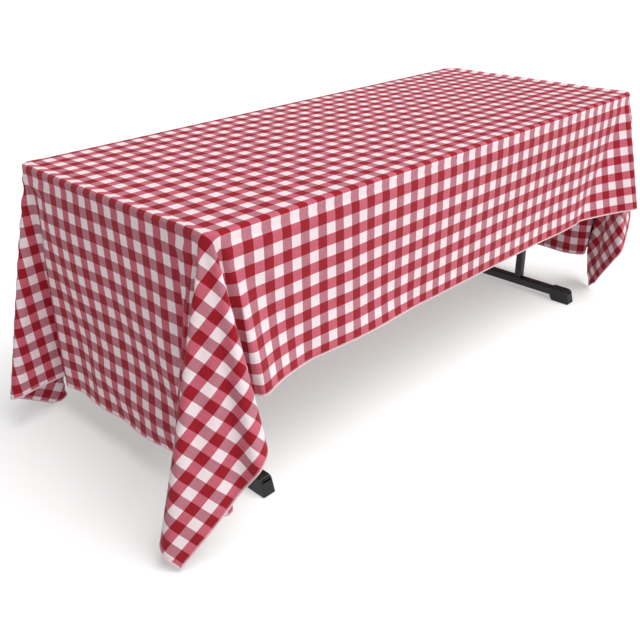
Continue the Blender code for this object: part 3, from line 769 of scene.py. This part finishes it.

# %% [markdown]
# The weave is laid over the checks. Its yarns go over and under each other, so they darken and lift in
# turn, and the contrast is stronger in the pink checks, where a red yarn meets a white one. Broad random
# patches over the whole cloth, a little darker and lighter, keep it from looking printed.

# %% Weave
YARN_PITCH = 0.0009
PATCH_SCALE = 5.0
PATCH_DEPTH = 0.10
EVEN_CONTRAST = 0.10
PINK_CONTRAST = 0.18
FABRIC_ROUGHNESS = (0.80, 0.92)
WEAVE_BUMP = (0.35, 0.0004)

yarn = math.pi / YARN_PITCH
over_under = (along * yarn).sin() * (across * yarn).sin()
# Broad random patches, a little darker and lighter over the whole cloth; they also vary its roughness.
broad_patches = noise(cut, PATCH_SCALE, 2.0)
contrast = abs(dyed_across - dyed_long) * PINK_CONTRAST + EVEN_CONTRAST
weave = contrast * (over_under * 0.5 + long_streaks + cross_streaks - 0.5)
shade = 1 - weave - (broad_patches - 0.5) * PATCH_DEPTH
grey = base.node("ShaderNodeCombineXYZ", None, {0: shade, 1: shade, 2: shade})
woven = base.node("ShaderNodeVectorMath", {"operation": "MULTIPLY"}, {0: checks, 1: grey})
lifted = over_under * 0.5 + long_streaks * 0.4 + cross_streaks * 0.4
feed(fabric_shader, "Roughness", broad_patches.spread(*FABRIC_ROUGHNESS))
feed(fabric_shader, "Normal", bump(lifted, *WEAVE_BUMP))
print("yarns are", YARN_PITCH * 1000, "mm apart")

# %% [markdown]
# Just inside the edge runs the needle thread of the overlock stitch. It is a dashed line that follows the
# edge at a fixed distance. It could be modelled as thousands of loops, but it is finer than a millimetre,
# so a line in the finish is enough.

# %% Edge stitches
STITCH_INSET = 0.0045
STITCH_LENGTH = 0.0032
STITCH_WIDTH = 0.0006
STITCH_GAP = -0.3
STITCH_COLOR = color(232, 206, 210)

to_edge = (CLOTH_LENGTH / 2 - abs(along)).least(CLOTH_WIDTH / 2 - abs(across))
stitch_line = abs(to_edge - STITCH_INSET) < STITCH_WIDTH
stitch_run = ((along + across) * (2 * math.pi / STITCH_LENGTH)).sin() > STITCH_GAP
stitched = (stitch_line * stitch_run).blend(woven, STITCH_COLOR)
feed(fabric_shader, "Base Color", stitched)
cloth.data.materials.append(gingham)
print("gingham:", len(gingham.node_tree.nodes), "nodes")

# %% [markdown]
# The overlock thread is undyed, and has picked up a little red. It wraps the edge in slanted turns, so its
# colour and its bump follow a wave that runs along and round the roll.

# %% Hem thread
THREAD_PITCH = 0.0018
THREAD_DARK = color(224, 172, 182)
THREAD_PALE = color(246, 226, 228)
THREAD_MOTTLE = 60.0
THREAD_ROUGHNESS = (0.72, 0.88)
THREAD_BUMP = (0.6, 0.0005)

thread, thread_shader = new_material("hem_thread", Roughness=0.8, Sheen_Weight=0.15,
                                     Specular_IOR_Level=0.2)
base = Wire(thread_shader.outputs[0])
roll = base.node("ShaderNodeUVMap", {"uv_map": "cut"})
down_hem = base.node("ShaderNodeSeparateXYZ", None, {0: roll}, 0)
round_hem = base.node("ShaderNodeSeparateXYZ", None, {0: roll}, 1)
turns = (down_hem * (2 * math.pi / THREAD_PITCH) + round_hem * (2 * math.pi)).sin() * 0.5 + 0.5
mottle = noise(roll, THREAD_MOTTLE, 2.0)
feed(thread_shader, "Base Color", (turns * 0.6 + mottle * 0.4).blend(THREAD_DARK, THREAD_PALE))
feed(thread_shader, "Roughness", mottle.spread(*THREAD_ROUGHNESS))
feed(thread_shader, "Normal", bump(turns, *THREAD_BUMP))
hem.data.materials.append(thread)
print("hem thread:", len(thread.node_tree.nodes), "nodes")

# %% [markdown]
# Little of the table shows, but it is all there when the cloth is lifted. Its top is a hard laminate with
# a fine speckle. Its edge band and foot caps are moulded plastic with a fine grain. The legs are powder
# coated steel, with the faint orange peel of sprayed powder. The rails and brackets under the top are
# folded sheet with a thinner paint, and the screws, bolts, pins and brace links are bright zinc. One
# function makes them all, because each is the same idea: a colour that two noises shift, a roughness that
# follows one of them, and a fine bump. It works from the object's own coordinates, since these parts carry
# no map.

# %% Table finishes
GRAIN_HEIGHT = 0.0004
OBJECT_PLACES = 3
DRAWN_OUT = (1, 1, 0.12)


def finish_material(name, dark, pale, rough, grain, cloud, bump_strength, stretch=(1, 1, 1), **uniform):
    """A finish whose colour goes from dark to pale with a fine grain and a broad cloud."""
    material, shader = new_material(name, **uniform)
    base = Wire(shader.outputs[0])
    place = base.node("ShaderNodeTexCoord", None, None, OBJECT_PLACES)
    drawn = base.node("ShaderNodeVectorMath", {"operation": "MULTIPLY"}, {0: place, 1: stretch})
    fine_grain = noise(drawn, grain, 2.0)
    broad = noise(place, cloud, 3.0)
    feed(shader, "Base Color", (fine_grain * 0.5 + broad * 0.5).blend(dark, pale))
    feed(shader, "Roughness", broad.spread(*rough))
    feed(shader, "Normal", bump(fine_grain, bump_strength, GRAIN_HEIGHT))
    return material


FINISHES = {
    "laminate": finish_material("speckled_laminate", color(196, 188, 172), color(238, 232, 220),
                                (0.34, 0.5), 900, 4, 0.06),
    "black_plastic": finish_material("moulded_plastic", color(6, 6, 6), color(24, 24, 25),
                                     (0.42, 0.58), 1400, 22, 0.35),
    "black_steel": finish_material("powder_coat", color(7, 7, 8), color(26, 26, 28),
                                   (0.32, 0.5), 650, 14, 0.25, Coat_Weight=0.15),
    "rail_steel": finish_material("rail_paint", color(52, 52, 56), color(88, 88, 92),
                                  (0.42, 0.6), 420, 9, 0.2),
    "zinc_plate": finish_material("bright_zinc", color(172, 174, 178), color(222, 224, 226),
                                  (0.24, 0.42), 700, 45, 0.12, DRAWN_OUT, Metallic=1.0),
}
finished = 0
for part in frame["record"]["subparts"]:
    if part["material_slot"] in FINISHES:
        node = nodes[part["node"]]
        node.data.materials.clear()
        node.data.materials.append(FINISHES[part["material_slot"]])
        finished += 1
print("finished", finished, "table parts in", len(FINISHES), "finishes")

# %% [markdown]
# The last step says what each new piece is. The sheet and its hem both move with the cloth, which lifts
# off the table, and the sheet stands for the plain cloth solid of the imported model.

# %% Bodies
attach(cloth, "cloth")
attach(hem, "cloth")
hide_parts("tablecloth")
